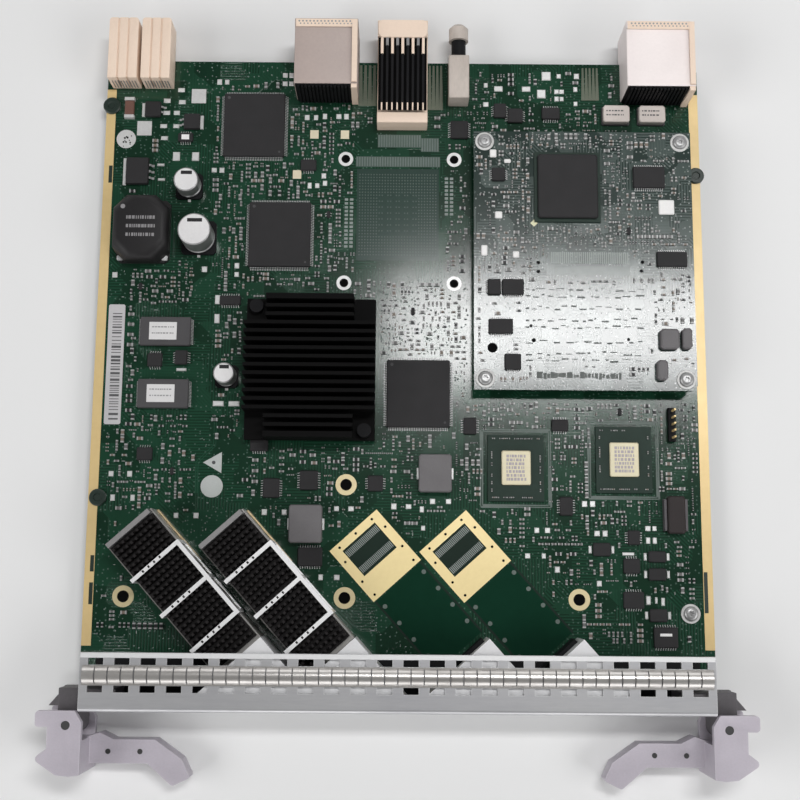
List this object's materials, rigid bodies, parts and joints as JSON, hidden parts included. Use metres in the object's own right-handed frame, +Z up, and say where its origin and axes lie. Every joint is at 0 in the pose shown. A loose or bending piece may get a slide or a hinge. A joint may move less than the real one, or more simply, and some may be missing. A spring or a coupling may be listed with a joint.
{
  "type": "optical interface board",
  "caption": "Plug-in optical line card: green component board with slotted metal front flange, ejector levers, angled module cages, daughter board and rear backplane connectors.",
  "frame": {"origin": "under the middle of the card, at the height of the front panel's lower edge, half way between the lever tips and the rear connectors", "axes": "+X to the right seen from the front panel, +Y towards the backplane, +Z up out of the component side"},
  "size_m": [0.254, 0.2901, 0.0269],
  "materials": {
    "solder_mask": "green solder mask over laminate",
    "gold_plate": "pale gold plating",
    "panel_zinc": "bright zinc-plated sheet",
    "spring_metal": "bright spring strip",
    "bezel_grey": "light grey sheet",
    "lever_grey": "light lavender-grey casting",
    "screw_steel": "plain steel",
    "cage_steel": "dull nickel-plated sheet",
    "cooler_black": "black anodised",
    "can_metal": "bare drawn can",
    "connector_white": "cream moulding",
    "ceramic_white": "pale ceramic with metal lid",
    "chip_black": "dark moulded epoxy",
    "plastic_black": "black moulding",
    "package_grey": "mid-grey moulded body"
  },
  "bodies": {
    "card": {"main_board": "solder_mask", "mezzanine_board": "solder_mask", "core_substrate": "solder_mask", "optics_chips": "solder_mask", "edge_strips": "gold_plate", "ground_pads": "gold_plate", "optics_lids": "gold_plate", "header_pins": "gold_plate", "front_panel": "panel_zinc", "finger_strip": "spring_metal", "cage_clip_1": "spring_metal", "cage_clip_2": "spring_metal", "port_bezel_left": "bezel_grey", "port_bezel_right": "bezel_grey", "lever_bracket_left": "lever_grey", "lever_bracket_right": "lever_grey", "lever_pin_left": "screw_steel", "lever_pin_right": "screw_steel", "board_screws": "screw_steel", "mezzanine_standoffs": "screw_steel", "guide_block": "screw_steel", "guide_pin": "screw_steel", "transistor_tab": "screw_steel", "cage_1": "cage_steel", "cage_2": "cage_steel", "cage_cooler_1": "cooler_black", "cage_cooler_2": "cooler_black", "processor_cooler": "cooler_black", "capacitor_cans": "can_metal", "power_connector_outer": "connector_white", "power_connector_inner": "connector_white", "signal_connector_left": "connector_white", "signal_connector_right": "connector_white", "middle_connector": "connector_white", "oscillators": "ceramic_white", "quad_packages": "chip_black", "processor": "chip_black", "power_choke": "chip_black", "power_drivers": "chip_black", "isolator": "chip_black", "core_cap": "chip_black", "mezzanine_chips": "chip_black", "edge_filter": "chip_black", "port_blanks": "plastic_black", "module_sockets": "plastic_black", "middle_blades": "plastic_black", "cooler_pushpins": "plastic_black", "capacitor_bases": "plastic_black", "pin_header": "plastic_black", "stacking_sockets": "plastic_black", "stacking_plugs": "plastic_black", "memory_packages": "package_grey", "shielded_inductors": "package_grey"},
    "lever_left": {"lever_left": "lever_grey"},
    "lever_right": {"lever_right": "lever_grey"},
    "transceiver_1": {"transceiver_1": "cage_steel"},
    "transceiver_2": {"transceiver_2": "cage_steel"}
  },
  "joints": [
    {"name": "lever_left_pivot", "type": "hinge", "parent": "card", "child": "lever_left", "pos_m": [-0.1162, -0.12275, 0.012], "axis": [0, 0, -1], "range_deg": [0, 60]},
    {"name": "lever_right_pivot", "type": "hinge", "parent": "card", "child": "lever_right", "pos_m": [0.1162, -0.12275, 0.012], "axis": [0, 0, 1], "range_deg": [0, 60]},
    {"name": "transceiver_1_slide", "type": "slide", "parent": "card", "child": "transceiver_1", "axis": [0.6691, -0.7431, 0], "range_m": [0, 0.055]},
    {"name": "transceiver_2_slide", "type": "slide", "parent": "card", "child": "transceiver_2", "axis": [0.6691, -0.7431, 0], "range_m": [0, 0.055]}
  ]
}
